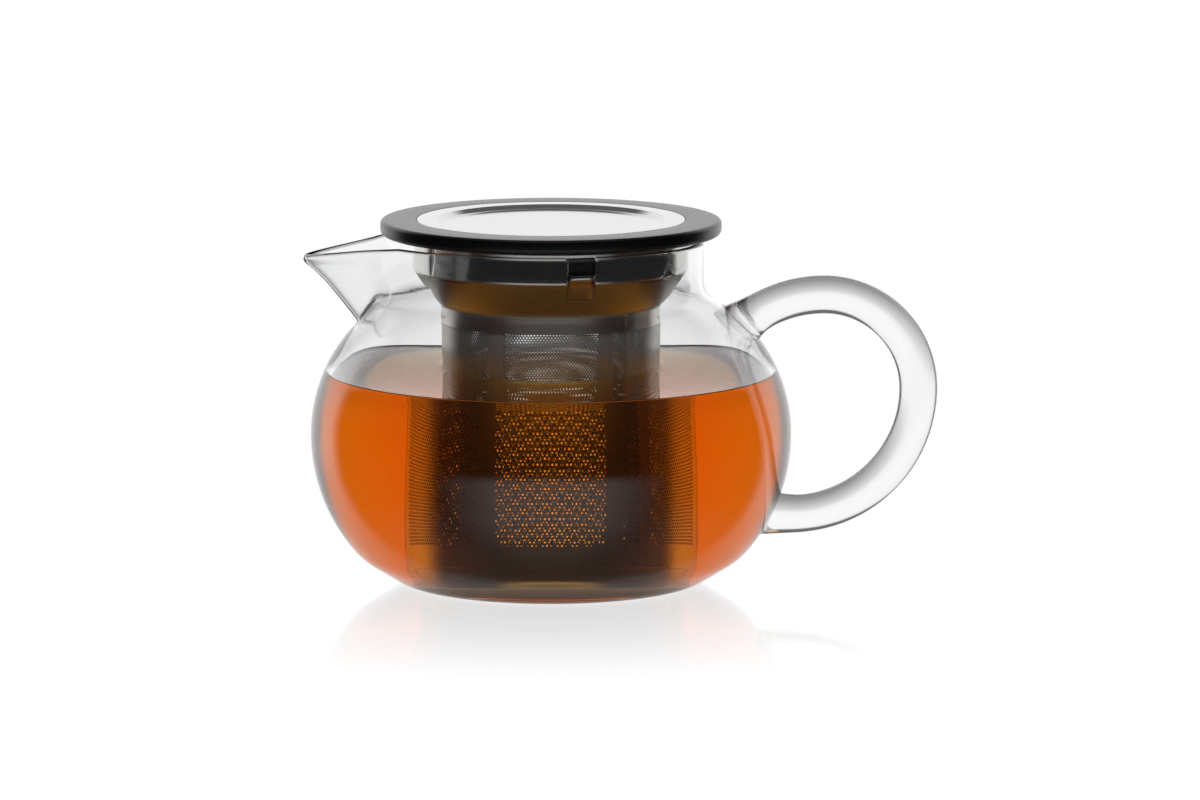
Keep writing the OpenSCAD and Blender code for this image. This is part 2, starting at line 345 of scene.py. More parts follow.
# --- Tea: fills the pot to the tea line and reaches a hair into the glass, so no air gap shows. ---
TEA_Z = 52.5 * MM
TEA_LAP = 0.25 * MM
MENISCUS = 0.8 * MM
INNER_TEA_R = 27.0 * MM
INNER_TEA_LAP = 0.1 * MM
INNER_TEA_LOW_Z = 10.9 * MM
INFUSER_CLIMB = 0.6  # of the height that the tea climbs at the glass
EDGE_BAND = 4 * MM  # width of the finely divided surface beside the glass and the infuser


def tea_height(r, wall_r):
    """Height of the tea's surface: it climbs a little at the glass and at the infuser."""
    at_glass = math.exp(-(wall_r - r) / MENISCUS)
    at_infuser = math.exp(-abs(r - STRAINER_R) / MENISCUS)
    return TEA_Z + MENISCUS * (at_glass + INFUSER_CLIMB * at_infuser)


def build_tea():
    """Tea round the infuser, hollow where the infuser's own tea stands."""
    skin = belly_outline(GLASS_WALL - TEA_LAP, FOOT_T - TEA_LAP, RIM_Z)
    below = [p for p in skin if p[1] < TEA_Z]
    above = next(p for p in skin if p[1] >= TEA_Z)
    share = (TEA_Z - below[-1][1]) / (above[1] - below[-1][1])
    wall_r = below[-1][0] + share * (above[0] - below[-1][0])
    below.append((wall_r, TEA_Z + MENISCUS))
    radii = np.concatenate([np.linspace(wall_r - 0.1 * MM, wall_r - EDGE_BAND, 14),
                            np.linspace(wall_r - EDGE_BAND - 1 * MM, STRAINER_R + EDGE_BAND, 8),
                            np.linspace(STRAINER_R + EDGE_BAND - 1 * MM, INNER_TEA_R, 14)])
    surface = [(r, tea_height(r, wall_r)) for r in radii]
    cavity = [(INNER_TEA_R, z) for z in np.linspace(TEA_Z, INNER_TEA_LOW_Z, 12)] + [(0, INNER_TEA_LOW_Z)]
    return lathe("tea", below + surface + cavity, 360, 80)


def build_inner_tea():
    """Tea inside the infuser; it reaches a hair into the tea outside, so no air gap shows."""
    side = INNER_TEA_R + INNER_TEA_LAP
    low = INNER_TEA_LOW_Z - INNER_TEA_LAP
    radii = np.linspace(side, 0, 24)
    surface = [(r, tea_height(r, BELLY_R)) for r in radii]
    floor = [(r, low) for r in np.linspace(0, side, 8)]
    return lathe("tea_in_infuser", floor + surface, 256, 60)


# --- Infuser. ---
COLLAR_R = 34.2 * MM
COLLAR_T = 0.5 * MM
COLLAR_LOW_Z = 79.4 * MM
FLANGE_Z = 86.6 * MM  # underside in the CAD; the flange built here lies COLLAR_T higher, in the seal
TAB_W = 6.3 * MM
TAB_TURN = 13
TAB_COUNT = 3
SLOT_GAP = 0.25 * MM
SLOT_LOW_Z = 75 * MM
SLOT_HIGH_Z = 85.6 * MM
TAB_ROOT = (31.2 * MM, 75 * MM)
TAB_TOP = (35.2 * MM, 81.7 * MM)
BRUSHED_TOP_Z = 79.8 * MM
BRUSHED_ROUGHNESS = 0.32
BRUSHED_FADE = 1.5 * MM
SLOT_CELLS = 12
BAND_CELLS = 80  # round the collar, from one slot to the next
TAB_ROWS = 8
TAB_COLUMNS = 4
TAB_BOW = 0.6 * MM


def bezier(p0, p1, p2, p3, steps):
    """Points along a cubic Bezier curve in the plane, without its first one."""
    points = []
    for k in range(1, steps + 1):
        t = k / steps
        weights = ((1 - t) ** 3, 3 * t * (1 - t) ** 2, 3 * t * t * (1 - t), t ** 3)
        points.append(tuple(sum(w * p[i] for w, p in zip(weights, (p0, p1, p2, p3))) for i in (0, 1)))
    return points


def collar_profile():
    """Outer face of the collar (r, z), from the flange down to where the strainer takes over."""
    points = [(FLANGE_R, FLANGE_Z + COLLAR_T), (COLLAR_R + 1.0 * MM, FLANGE_Z + COLLAR_T)]
    points += arc((COLLAR_R + 0.6 * MM, FLANGE_Z - 0.1 * MM), 0.6 * MM, 90, 180, 4)
    points += [(COLLAR_R, z) for z in np.linspace(SLOT_HIGH_Z, COLLAR_LOW_Z + 0.2 * MM, 10)]
    points += [(COLLAR_R - 0.05 * MM, COLLAR_LOW_Z), (COLLAR_R - 0.2 * MM, COLLAR_LOW_Z - 0.25 * MM)]
    points += bezier(points[-1], (COLLAR_R - 1.7 * MM, 76.9 * MM), (COLLAR_R - 3.7 * MM, 73.9 * MM),
                     (STRAINER_R + 1.0 * MM, 70.9 * MM), 16)
    points += bezier(points[-1], (STRAINER_R + 0.6 * MM, 70.4 * MM), (STRAINER_R + 0.2 * MM, 70.2 * MM),
                     (STRAINER_R + 0.2 * MM, 69.6 * MM), 5)
    return points


def build_collar():
    """Polished pressing: one skin with slots, thickened, with the spring tabs rising from it."""
    profile = collar_profile()
    half_slot = (TAB_W / 2 + SLOT_GAP) / COLLAR_R
    turns = []
    inside = []
    for t in range(TAB_COUNT):
        middle = math.radians(-90 + TAB_TURN) + 2 * math.pi * t / TAB_COUNT
        slot = np.linspace(-half_slot, half_slot, SLOT_CELLS + 1)
        rest = np.linspace(half_slot, 2 * math.pi / TAB_COUNT - half_slot, BAND_CELLS + 1)[1:-1]
        turns.extend(middle + np.concatenate([slot, rest]))
        inside.extend([True] * SLOT_CELLS + [False] * BAND_CELLS)
    count = len(turns)
    vertices = [(r * math.cos(a), r * math.sin(a), z) for r, z in profile for a in turns]
    faces = []
    for k in range(len(profile) - 1):
        in_slot_rows = profile[k][1] <= SLOT_HIGH_Z and profile[k + 1][1] >= SLOT_LOW_Z
        for i in range(count):
            if in_slot_rows and inside[i]:
                continue
            j = (i + 1) % count
            faces.append((k * count + i, (k + 1) * count + i, (k + 1) * count + j, k * count + j))
    for t in range(TAB_COUNT):
        middle = math.radians(-90 + TAB_TURN) + 2 * math.pi * t / TAB_COUNT
        out, side = (math.cos(middle), math.sin(middle)), (-math.sin(middle), math.cos(middle))
        start = len(vertices)
        for share in np.linspace(0, 1, TAB_ROWS + 1):
            r = TAB_ROOT[0] + (TAB_TOP[0] - TAB_ROOT[0]) * share
            z = TAB_ROOT[1] + (TAB_TOP[1] - TAB_ROOT[1]) * share - TAB_BOW * math.sin(math.pi * share)
            for w in np.linspace(-TAB_W / 2, TAB_W / 2, TAB_COLUMNS + 1):
                vertices.append((r * out[0] + w * side[0], r * out[1] + w * side[1], z))
        row = TAB_COLUMNS + 1
        for k in range(TAB_ROWS):
            for w in range(TAB_COLUMNS):
                a = start + k * row + w
                faces.append((a, a + 1, a + row + 1, a + row))
    piece = link_mesh("collar", vertices, faces, 50)
    solid = piece.modifiers.new("sheet", "SOLIDIFY")
    solid.thickness = COLLAR_T
    solid.offset = -1
    return piece


# --- Perforated wall: six panels of staggered holes with plain strips between them. ---
SHEET_T = 0.3 * MM
PANELS = 6
PANEL_SWEEP = 52
PANEL_TURN = 0
HOLE_R = 0.25 * MM
HOLE_CORNERS = 8  # ring_faces is written for eight
HOLE_COLUMNS = 31
HOLE_LOW_Z = 18 * MM
HOLE_HIGH_Z = 66 * MM
HOLE_ROWS = 79
PANEL_HIGH_Z = 70 * MM
INSIDE_ROUGHNESS = 0.6
CAP_T = 0.4 * MM
CAP_FLOOR_T = 0.6 * MM
CAP_LAP = 1.5 * MM
DISC_R = 23.5 * MM
DISC_RISE = 0.45 * MM
SEAM_TURN = 45.5
SEAM_W = 2.4 * MM
SEAM_T = 0.2 * MM
SEAM_BITE = 0.14 * MM
SEAM_STEP = 1.5 * MM
SEAM_SINK = 0.05 * MM


def ring_faces(low, high, ring):
    """Six faces between a cell's border (three corners below, three above) and its round hole."""
    return [(low[1], low[2], ring[7], ring[6]), (low[2], high[2], ring[1], ring[0], ring[7]),
            (high[2], high[1], ring[2], ring[1]), (high[1], high[0], ring[3], ring[2]),
            (high[0], low[0], ring[5], ring[4], ring[3]), (low[0], low[1], ring[6], ring[5])]


def panel_grid():
    """Flat layout of one panel in half-pitch columns: points (turn, height), faces with the holes left
    out, the holes' rings of points, and the border."""
    half_steps = 2 * HOLE_COLUMNS
    sweep = math.radians(PANEL_SWEEP)
    sector = 2 * math.pi / PANELS
    lines = np.concatenate([[-sector / 2, -(sector + sweep) / 4],
                            np.linspace(-sweep / 2, sweep / 2, half_steps + 1),
                            [(sector + sweep) / 4, sector / 2]])
    rows = np.linspace(HOLE_LOW_Z, HOLE_HIGH_Z, HOLE_ROWS + 1)
    levels = np.concatenate([np.linspace(WALL_LOW.z, HOLE_LOW_Z, 6)[:-1], rows,
                             np.linspace(HOLE_HIGH_Z, PANEL_HIGH_Z, 4)[1:]])
    width = len(lines)
    points = [(t, z) for z in levels for t in lines]
    faces, holes = [], []
    first_line, first_row = 2, 5  # plain lines and rows that come before the holes

    def at(column, row):
        """Number of a grid point."""
        return row * width + column

    for row in range(len(levels) - 1):
        hole_row = row - first_row
        perforated = 0 <= hole_row < HOLE_ROWS
        column = 0
        while column < width - 1:
            local = column - first_line
            shift = hole_row % 2
            starts = (perforated and 0 <= local - shift and local + 2 <= half_steps
                      and (local - shift) % 2 == 0)
            if not starts:
                faces.append((at(column, row), at(column + 1, row),
                              at(column + 1, row + 1), at(column, row + 1)))
                column += 1
                continue
            low = [at(column + k, row) for k in range(3)]
            high = [at(column + k, row + 1) for k in range(3)]
            middle_turn, middle_z = lines[column + 1], (levels[row] + levels[row + 1]) / 2
            ring = []
            for k in range(HOLE_CORNERS):
                a = 2 * math.pi * k / HOLE_CORNERS
                ring.append(len(points))
                points.append((middle_turn + HOLE_R * math.cos(a) / STRAINER_R,
                               middle_z + HOLE_R * math.sin(a)))
            faces += ring_faces(low, high, ring)
            holes.append(ring)
            column += 2
    border = ([at(c, 0) for c in range(width - 1)]
              + [at(width - 1, r) for r in range(len(levels) - 1)]
              + [at(c, len(levels) - 1) for c in range(width - 1, 0, -1)]
              + [at(0, r) for r in range(len(levels) - 1, 0, -1)])
    return np.array(points), faces, holes, border


def build_wall_panels():
    """The rolled sheet as six pieces that meet edge to edge, each with a skin outside and inside."""
    points, faces, holes, border = panel_grid()
    count = len(points)
    shell = list(faces)
    shell += [tuple(v + count for v in reversed(face)) for face in faces]
    for ring in holes:
        for k in range(HOLE_CORNERS):
            a, b = ring[k], ring[(k + 1) % HOLE_CORNERS]
            shell.append((a, b, b + count, a + count))
    for k, a in enumerate(border):
        b = border[(k + 1) % len(border)]
        shell.append((b, a, a + count, b + count))
    pieces = []
    for panel in range(PANELS):
        middle = math.radians(PANEL_TURN - 90) + 2 * math.pi * panel / PANELS
        turns = points[:, 0] + middle
        skins = [np.stack([r * np.cos(turns), r * np.sin(turns), points[:, 1]], axis=1)
                 for r in (STRAINER_R, STRAINER_R - SHEET_T)]
        pieces.append(link_mesh(f"strainer_panel_{panel + 1}", np.concatenate(skins), shell, 40))
    return pieces


def build_base_ring():
    """Pressed cap that closes the bottom of the tube and holds the perforated disc."""
    outer = BASE_HIGH.x
    low, high = BASE_LOW.z, BASE_HIGH.z
    return lathe("strainer_cap", rounded([
        (DISC_R - CAP_LAP, low, 0.2 * MM), (outer, low, 0.8 * MM), (outer, high, 0.15 * MM),
        (outer - CAP_T, high, 0.15 * MM), (outer - CAP_T, low + CAP_FLOOR_T, 0.4 * MM),
        (DISC_R - CAP_LAP, low + CAP_FLOOR_T, 0.2 * MM)]))


def build_base_disc():
    """Flat perforated disc: one round hole in each cell, in staggered rows."""
    pitch = 2 * math.pi * STRAINER_R * PANEL_SWEEP / 360 / HOLE_COLUMNS
    row_step = (HOLE_HIGH_Z - HOLE_LOW_Z) / HOLE_ROWS
    rows = int(DISC_R / row_step)
    top = BASE_LOW.z + DISC_RISE
    index, vertices, faces, rings = {}, [], [], []

    def at(column, row):
        """Number of a grid point, which is added when it is first asked for."""
        key = (column, row)
        if key not in index:
            index[key] = len(vertices)
            vertices.append((column * pitch / 2, row * row_step))
        return index[key]

    for row in range(-rows, rows):
        columns = int(math.sqrt(DISC_R ** 2 - (max(abs(row), abs(row + 1)) * row_step) ** 2) / pitch * 2)
        for column in range(-columns, columns - 1):
            if (column + row) % 2:
                continue
            low = [at(column + k, row) for k in range(3)]
            high = [at(column + k, row + 1) for k in range(3)]
            middle = ((column + 1) * pitch / 2, (row + 0.5) * row_step)
            ring = []
            for k in range(HOLE_CORNERS):
                a = 2 * math.pi * k / HOLE_CORNERS
                ring.append(len(vertices))
                vertices.append((middle[0] + HOLE_R * math.cos(a), middle[1] + HOLE_R * math.sin(a)))
            faces += ring_faces(low, high, ring)
            rings.append(ring)
    flat = [(x, y, top) for x, y in vertices]
    count = len(flat)
    under = [(x, y, top - SHEET_T) for x, y in vertices]
    shell = faces + [tuple(v + count for v in reversed(face)) for face in faces]
    for ring in rings:
        for k in range(HOLE_CORNERS):
            a, b = ring[k], ring[(k + 1) % HOLE_CORNERS]
            shell.append((a, b, b + count, a + count))
    return link_mesh("strainer_floor", flat + under, shell, 40)


def build_seam():
    """The lap where the rolled sheet meets itself, with the small bites of its welds."""
    heights = np.linspace(BASE_HIGH.z, PANEL_HIGH_Z, 181)
    middle = math.radians(SEAM_TURN - 90)
    vertices = []
    for z in heights:
        bite = SEAM_BITE * math.sin(2 * math.pi * (z / SEAM_STEP))
        for r, w in ((STRAINER_R - SEAM_SINK, -SEAM_W / 2), (STRAINER_R + SEAM_T, -SEAM_W / 2 - bite),
                     (STRAINER_R + SEAM_T, SEAM_W / 2 + bite), (STRAINER_R - SEAM_SINK, SEAM_W / 2)):
            a = middle + w / STRAINER_R
            vertices.append((r * math.cos(a), r * math.sin(a), z))
    faces = []
    for k in range(len(heights) - 1):
        for i in range(4):
            j = (i + 1) % 4
            faces.append((4 * k + i, 4 * k + j, 4 * k + 4 + j, 4 * k + 4 + i))
    last = 4 * (len(heights) - 1)
    faces += [(3, 2, 1, 0), (last, last + 1, last + 2, last + 3)]
    return link_mesh("strainer_seam", vertices, faces, 30)


# --- Lid. ---
PLUG_R = 33.2 * MM
PLUG_LOW_Z = 80.4 * MM
PLUG_WALL = 2 * MM
PLATE_DEPTH = 1.0 * MM
PLATE_T = 0.5 * MM
PLATE_RIM_IN_R = 28.7 * MM
PLATE_FLOOR_R = 27.0 * MM
PLATE_GAP = 0.1 * MM
RING_LOW_Z = 87.7 * MM
LEDGE_DEPTH = 0.6 * MM
WEB_DEPTH = 1.6 * MM
WEB_T = 1.8 * MM
SEAL_IN_R = 34.6 * MM
SEAL_OUT_R = 37.4 * MM
SEAL_GROOVE = 0.5 * MM


def build_lid_ring():
    """Black moulding: the thick edge, the web under the plate, and the plug below."""
    ledge = LID_TOP_Z - LEDGE_DEPTH
    web = LID_TOP_Z - WEB_DEPTH
    groove = RING_LOW_Z + SEAL_GROOVE
    plug_in_r = PLUG_R - PLUG_WALL
    return lathe("lid_moulding", rounded([
        (0, web, 0), (PLATE_RIM_IN_R, web, 0.2 * MM), (PLATE_RIM_IN_R + PLATE_GAP, ledge, 0.2 * MM),
        (PLATE_R + PLATE_GAP, ledge, 0.1 * MM), (PLATE_R + PLATE_GAP, LID_TOP_Z, 0.25 * MM),
        (LID_R, LID_TOP_Z, 1.1 * MM), (LID_R, RING_LOW_Z, 1.5 * MM),
        (SEAL_OUT_R, RING_LOW_Z, 0.1 * MM), (SEAL_OUT_R, groove, 0.1 * MM),
        (SEAL_IN_R, groove, 0.1 * MM), (SEAL_IN_R, RING_LOW_Z, 0.1 * MM),
        (PLUG_R, RING_LOW_Z, 0.3 * MM), (PLUG_R, PLUG_LOW_Z, 0.6 * MM),
        (plug_in_r, PLUG_LOW_Z, 0.6 * MM), (plug_in_r, web - WEB_T, 1.0 * MM),
        (0, web - WEB_T, 0)], 8))


def build_lid_plate():
    """Steel plate with a raised rim round a lower floor."""
    floor = LID_TOP_Z - PLATE_DEPTH
    return lathe("lid_plate_pressing", rounded([
        (0, floor, 0), (PLATE_FLOOR_R, floor, 1.0 * MM), (PLATE_RIM_IN_R, LID_TOP_Z, 0.9 * MM),
        (PLATE_R, LID_TOP_Z, 0.3 * MM), (PLATE_R, LID_TOP_Z - PLATE_T, 0.1 * MM),
        (PLATE_RIM_IN_R, LID_TOP_Z - PLATE_T, 0.9 * MM), (PLATE_FLOOR_R, floor - PLATE_T, 1.0 * MM),
        (0, floor - PLATE_T, 0)], 8))


# --- Materials. ---
def new_material(name):
    """A node material with its nodes, its links and its shader."""
    material = bpy.data.materials.new(name)
    material.use_nodes = True
    nodes = material.node_tree.nodes
    return material, nodes, material.node_tree.links, nodes["Principled BSDF"]


def noise_node(nodes, links, scale, detail=3):
    """Noise in object space, at a scale in cycles per metre."""
    where = nodes.new("ShaderNodeTexCoord")
    noise = nodes.new("ShaderNodeTexNoise")
    noise.inputs["Scale"].default_value = scale
    noise.inputs["Detail"].default_value = detail
    links.new(where.outputs["Object"], noise.inputs["Vector"])
    return noise


def ramp(nodes, links, value, low, high):
    """Maps 0 to 1 onto low to high."""
    node = nodes.new("ShaderNodeMapRange")
    node.inputs["To Min"].default_value = low
    node.inputs["To Max"].default_value = high
    links.new(value, node.inputs["Value"])
    return node.outputs["Result"]


def bump(nodes, links, shader, height, distance, strength=1.0):
    """Roughens a shader's normal by a height; distance is in metres."""
    node = nodes.new("ShaderNodeBump")
    node.inputs["Distance"].default_value = distance
    node.inputs["Strength"].default_value = strength
    links.new(height, node.inputs["Height"])
    links.new(node.outputs["Normal"], shader.inputs["Normal"])


def glass_material():
    """Clear blown glass with faint waves."""
    material, nodes, links, shader = new_material("pot_glass_look")
    shader.inputs["Base Color"].default_value = (0.994, 1.0, 0.998, 1)
    shader.inputs["Transmission Weight"].default_value = 1
    shader.inputs["IOR"].default_value = 1.47
    noise = noise_node(nodes, links, 28, 1)
    links.new(ramp(nodes, links, noise.outputs["Fac"], 0.0, 0.012), shader.inputs["Roughness"])
    bump(nodes, links, shader, noise.outputs["Fac"], 0.00015, 0.5)
    return material


def tea_material(name, density):
    """Clear amber tea; density says how strongly it colours the light, per metre."""
    material, nodes, links, shader = new_material(name)
    shader.inputs["Base Color"].default_value = (1, 1, 1, 1)
    shader.inputs["Transmission Weight"].default_value = 1
    shader.inputs["IOR"].default_value = 1.33
    noise = noise_node(nodes, links, 60, 1)
    links.new(ramp(nodes, links, noise.outputs["Fac"], 0.0, 0.01), shader.inputs["Roughness"])
    absorb = nodes.new("ShaderNodeVolumeAbsorption")
    absorb.inputs["Color"].default_value = (0.972, 0.713, 0.026, 1)
    absorb.inputs["Density"].default_value = density
    links.new(absorb.outputs["Volume"], nodes["Material Output"].inputs["Volume"])
    return material


def steel_material(name, colour, rough_low, rough_high, noise_scale, bump_height):
    """Stainless steel whose tint, roughness and surface follow one fine noise."""
    material, nodes, links, shader = new_material(name)
    shader.inputs["Metallic"].default_value = 1
    noise = noise_node(nodes, links, noise_scale, 4)
    tint = nodes.new("ShaderNodeMixRGB")
    tint.inputs["Color1"].default_value = (*[c * 0.94 for c in colour], 1)
    tint.inputs["Color2"].default_value = (*colour, 1)
    links.new(noise.outputs["Fac"], tint.inputs["Fac"])
    links.new(tint.outputs["Color"], shader.inputs["Base Color"])
    links.new(ramp(nodes, links, noise.outputs["Fac"], rough_low, rough_high), shader.inputs["Roughness"])
    bump(nodes, links, shader, noise.outputs["Fac"], bump_height, 0.6)
    return material


def collar_material():
    """Mirror bright band above, brushed bowl below."""
    material = steel_material("polished_steel_look", (0.72, 0.71, 0.69), 0.03, 0.07, 400, 0.000003)
    nodes, links = material.node_tree.nodes, material.node_tree.links
    shader = nodes["Principled BSDF"]
    where = nodes.new("ShaderNodeTexCoord")
    split = nodes.new("ShaderNodeSeparateXYZ")
    links.new(where.outputs["Object"], split.inputs["Vector"])
    depth = nodes.new("ShaderNodeMapRange")
    depth.inputs["From Min"].default_value = BRUSHED_TOP_Z
    depth.inputs["From Max"].default_value = BRUSHED_TOP_Z - BRUSHED_FADE
    links.new(split.outputs["Z"], depth.inputs["Value"])
    choose = nodes.new("ShaderNodeMix")
    choose.data_type = "FLOAT"
    choose.inputs["B"].default_value = BRUSHED_ROUGHNESS
    links.new(depth.outputs["Result"], choose.inputs["Factor"])
    links.new(shader.inputs["Roughness"].links[0].from_socket, choose.inputs["A"])
    links.new(choose.outputs["Result"], shader.inputs["Roughness"])
    return material


def etched_material():
    """Bright rolled sheet outside, duller inside the tube."""
    material = steel_material("etched_steel_look", (0.88, 0.84, 0.80), 0.30, 0.36, 1500, 0.000002)
    nodes, links = material.node_tree.nodes, material.node_tree.links
    shader = nodes["Principled BSDF"]
    outside = shader.inputs["Roughness"].links[0].from_socket
    where = nodes.new("ShaderNodeTexCoord")
    flat = nodes.new("ShaderNodeVectorMath")
    flat.operation = "MULTIPLY"
    flat.inputs[1].default_value = (1, 1, 0)
    length = nodes.new("ShaderNodeVectorMath")
    length.operation = "LENGTH"
    links.new(where.outputs["Object"], flat.inputs[0])
    links.new(flat.outputs["Vector"], length.inputs[0])
    is_outside = nodes.new("ShaderNodeMath")
    is_outside.operation = "GREATER_THAN"
    is_outside.inputs[1].default_value = STRAINER_R - 0.5 * SHEET_T
    links.new(length.outputs["Value"], is_outside.inputs[0])
    choose = nodes.new("ShaderNodeMix")
    choose.data_type = "FLOAT"
    choose.inputs["A"].default_value = INSIDE_ROUGHNESS
    links.new(is_outside.outputs["Value"], choose.inputs["Factor"])
    links.new(outside, choose.inputs["B"])
    links.new(choose.outputs["Result"], shader.inputs["Roughness"])
    return material


def plastic_material():
    """Satin black moulded plastic."""
    material, nodes, links, shader = new_material("black_plastic_look")
    shader.inputs["Specular IOR Level"].default_value = 0.5
    noise = noise_node(nodes, links, 900, 3)
    tint = nodes.new("ShaderNodeMixRGB")
    tint.inputs["Color1"].default_value = (0.014, 0.015, 0.016, 1)
    tint.inputs["Color2"].default_value = (0.022, 0.023, 0.025, 1)
    links.new(noise.outputs["Fac"], tint.inputs["Fac"])
    links.new(tint.outputs["Color"], shader.inputs["Base Color"])
    links.new(ramp(nodes, links, noise.outputs["Fac"], 0.22, 0.30), shader.inputs["Roughness"])
    bump(nodes, links, shader, noise.outputs["Fac"], 0.00001, 0.5)
    return material


def rubber_material():
    """Matt dark silicone."""
    material, nodes, links, shader = new_material("seal_look")
    noise = noise_node(nodes, links, 700, 2)
    shader.inputs["Base Color"].default_value = (0.03, 0.03, 0.03, 1)
    links.new(ramp(nodes, links, noise.outputs["Fac"], 0.5, 0.65), shader.inputs["Roughness"])
    bump(nodes, links, shader, noise.outputs["Fac"], 0.00002, 0.5)
    return material


def place(piece, body, replaced, material):
    """Gives a piece its material and its body, and hides the nodes it stands for."""
    piece.data.materials.clear()
    piece.data.materials.append(material)
    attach(piece, body)
    if replaced:
        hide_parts(*replaced)


# --- The object. ---
TEA_DENSITY = 76
# The tea inside the infuser colours the light about a tenth as strongly as the tea outside. The holes seen
# against it therefore glow golden: a painted highlight standing in for glints at the holes' edges.
INNER_TEA_PAINTED_GLOW_DENSITY = 8
glass = glass_material()
polished = collar_material()
etched = etched_material()
satin = steel_material("plate_steel_look", (0.72, 0.72, 0.71), 0.07, 0.15, 1200, 0.000004)
plastic = plastic_material()

place(build_pot(), "pot", ["glass_pot"], glass)
place(build_handle(), "pot", ["glass_handle"], glass)
place(build_tea(), "pot", [], tea_material("tea_look", TEA_DENSITY))
place(build_inner_tea(), "pot", [], tea_material("inner_tea_painted_glow_look", INNER_TEA_PAINTED_GLOW_DENSITY))
place(build_collar(), "infuser", ["infuser_collar"], polished)
for index, panel in enumerate(build_wall_panels()):
    place(panel, "infuser", ["strainer_wall"] if index == 0 else [], etched)
place(build_base_ring(), "infuser", ["strainer_base"], etched)
place(build_base_disc(), "infuser", [], etched)
place(build_seam(), "infuser", [], etched)
place(build_lid_ring(), "lid", ["lid_ring"], plastic)
place(build_lid_plate(), "lid", ["lid_plate"], satin)
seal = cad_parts["lid_seal"]
seal.data.materials.clear()
seal.data.materials.append(rubber_material())


# --- Stage: floor, world and camera. ---
# Brightness of the studio by the height a ray leaves at (degrees), behind the pot and before it.
BACK_LIGHT = [(-90, 0.09), (-72, 0.14), (-60, 0.30), (-42, 0.30), (-28, 0.48), (-17, 0.70), (-10, 0.97),
              (-4, 1.0), (28, 1.0), (37, 0.13), (70, 0.13), (90, 0.5)]
FRONT_LIGHT = [(-90, 0.09), (-60, 0.12), (-42, 0.09), (-28, 0.03), (0, 0.014), (50, 0.03), (90, 0.5)]
# How far round from straight behind (degrees, to the right) the white wall reaches.
WALL_REACH = [(-180, 0.0), (-58, 0.0), (-54, 0.30), (-50, 0.85), (-44, 1.0), (44, 1.0), (50, 0.85),
              (54, 0.30), (59, 0.0), (180, 0.0)]
# The lit table top close in front of the pot, and how far round it reaches.
TABLE_LIGHT = [(-90, 0.09), (-62, 0.22), (-45, 0.42), (-19, 0.42), (-13, 0.02), (0, 0.014), (50, 0.03),
               (90, 0.5)]
TABLE_REACH = [(-180, 1.0), (-152, 1.0), (-120, 0.0), (120, 0.0), (152, 1.0), (180, 1.0)]
BACK_TINT = (1.0, 1.0, 1.0)
FRONT_TINT = (0.95, 1.0, 1.08)

# The mirroring in the floor fades out between two distances from the pot's middle.
FLOOR_GLOW = 1.02
FLOOR_ROUGHNESS = 0.06
MIRROR_SHARE = 0.30
MIRROR_FROM = 0.035
MIRROR_TO = 0.16
FLOOR_DROP = 0.2 * MM

CAMERA_AIM = (0.0122, 0, 0.0459)
CAMERA_TILT = 8.4
CAMERA_DISTANCE = 2.5
CAMERA_LENS = 300.6
CAMERA_SENSOR = 36
GLASS_BOUNCES = 32
OTHER_BOUNCES = 16


def build_floor():
    """Pale floor that glows evenly and mirrors the pot faintly near its foot."""
    floor = link_mesh("floor", [(-3, -1.5, 0), (3, -1.5, 0), (3, 4, 0), (-3, 4, 0)], [(0, 1, 2, 3)])
    material = bpy.data.materials.new("floor_look")
    material.use_nodes = True
    nodes, links = material.node_tree.nodes, material.node_tree.links
    nodes.clear()
    out = nodes.new("ShaderNodeOutputMaterial")
    glow = nodes.new("ShaderNodeEmission")
    glow.inputs["Color"].default_value = (1, 1, 1, 1)
    glow.inputs["Strength"].default_value = FLOOR_GLOW
    gloss = nodes.new("ShaderNodeBsdfGlossy")
    gloss.inputs["Color"].default_value = (1, 1, 1, 1)
    gloss.inputs["Roughness"].default_value = FLOOR_ROUGHNESS
    where = nodes.new("ShaderNodeTexCoord")
    length = nodes.new("ShaderNodeVectorMath")
    length.operation = "LENGTH"
    links.new(where.outputs["Object"], length.inputs[0])
    fade = nodes.new("ShaderNodeMapRange")
    fade.interpolation_type = "SMOOTHSTEP"
    fade.inputs["From Min"].default_value = MIRROR_FROM
    fade.inputs["From Max"].default_value = MIRROR_TO
    fade.inputs["To Min"].default_value = MIRROR_SHARE
    fade.inputs["To Max"].default_value = 0.0
    links.new(length.outputs["Value"], fade.inputs["Value"])
    mix = nodes.new("ShaderNodeMixShader")
    links.new(fade.outputs["Result"], mix.inputs["Fac"])
    links.new(glow.outputs["Emission"], mix.inputs[1])
    links.new(gloss.outputs["BSDF"], mix.inputs[2])
    links.new(mix.outputs["Shader"], out.inputs["Surface"])
    floor.data.materials.append(material)
    floor.location.z = -FLOOR_DROP
    floor.visible_glossy = False
    floor.visible_transmission = False
    floor.visible_diffuse = False


def stepped(nodes, links, value, stops, low, high, tint=BACK_TINT):
    """Brightness read off a list of (angle, brightness) stops; the angle runs from low to high degrees."""
    scale = nodes.new("ShaderNodeMapRange")
    scale.inputs["From Min"].default_value = math.radians(low)
    scale.inputs["From Max"].default_value = math.radians(high)
    links.new(value, scale.inputs["Value"])
    colours = nodes.new("ShaderNodeValToRGB")
    elements = colours.color_ramp.elements
    while len(elements) < len(stops):
        elements.new(0.5)
    for element, (angle, brightness) in zip(elements, stops):
        element.position = (angle - low) / (high - low)
    for element, (angle, brightness) in zip(elements, stops):
        element.color = (*[brightness * channel for channel in tint], 1)
    links.new(scale.outputs["Result"], colours.inputs["Fac"])
    return colours.outputs["Color"]


def angle_node(nodes, links, operation, *values):
    """A math node that turns parts of a direction into an angle."""
    node = nodes.new("ShaderNodeMath")
    node.operation = operation
    for value, socket in zip(values, node.inputs):
        links.new(value, socket)
    return node.outputs["Value"]


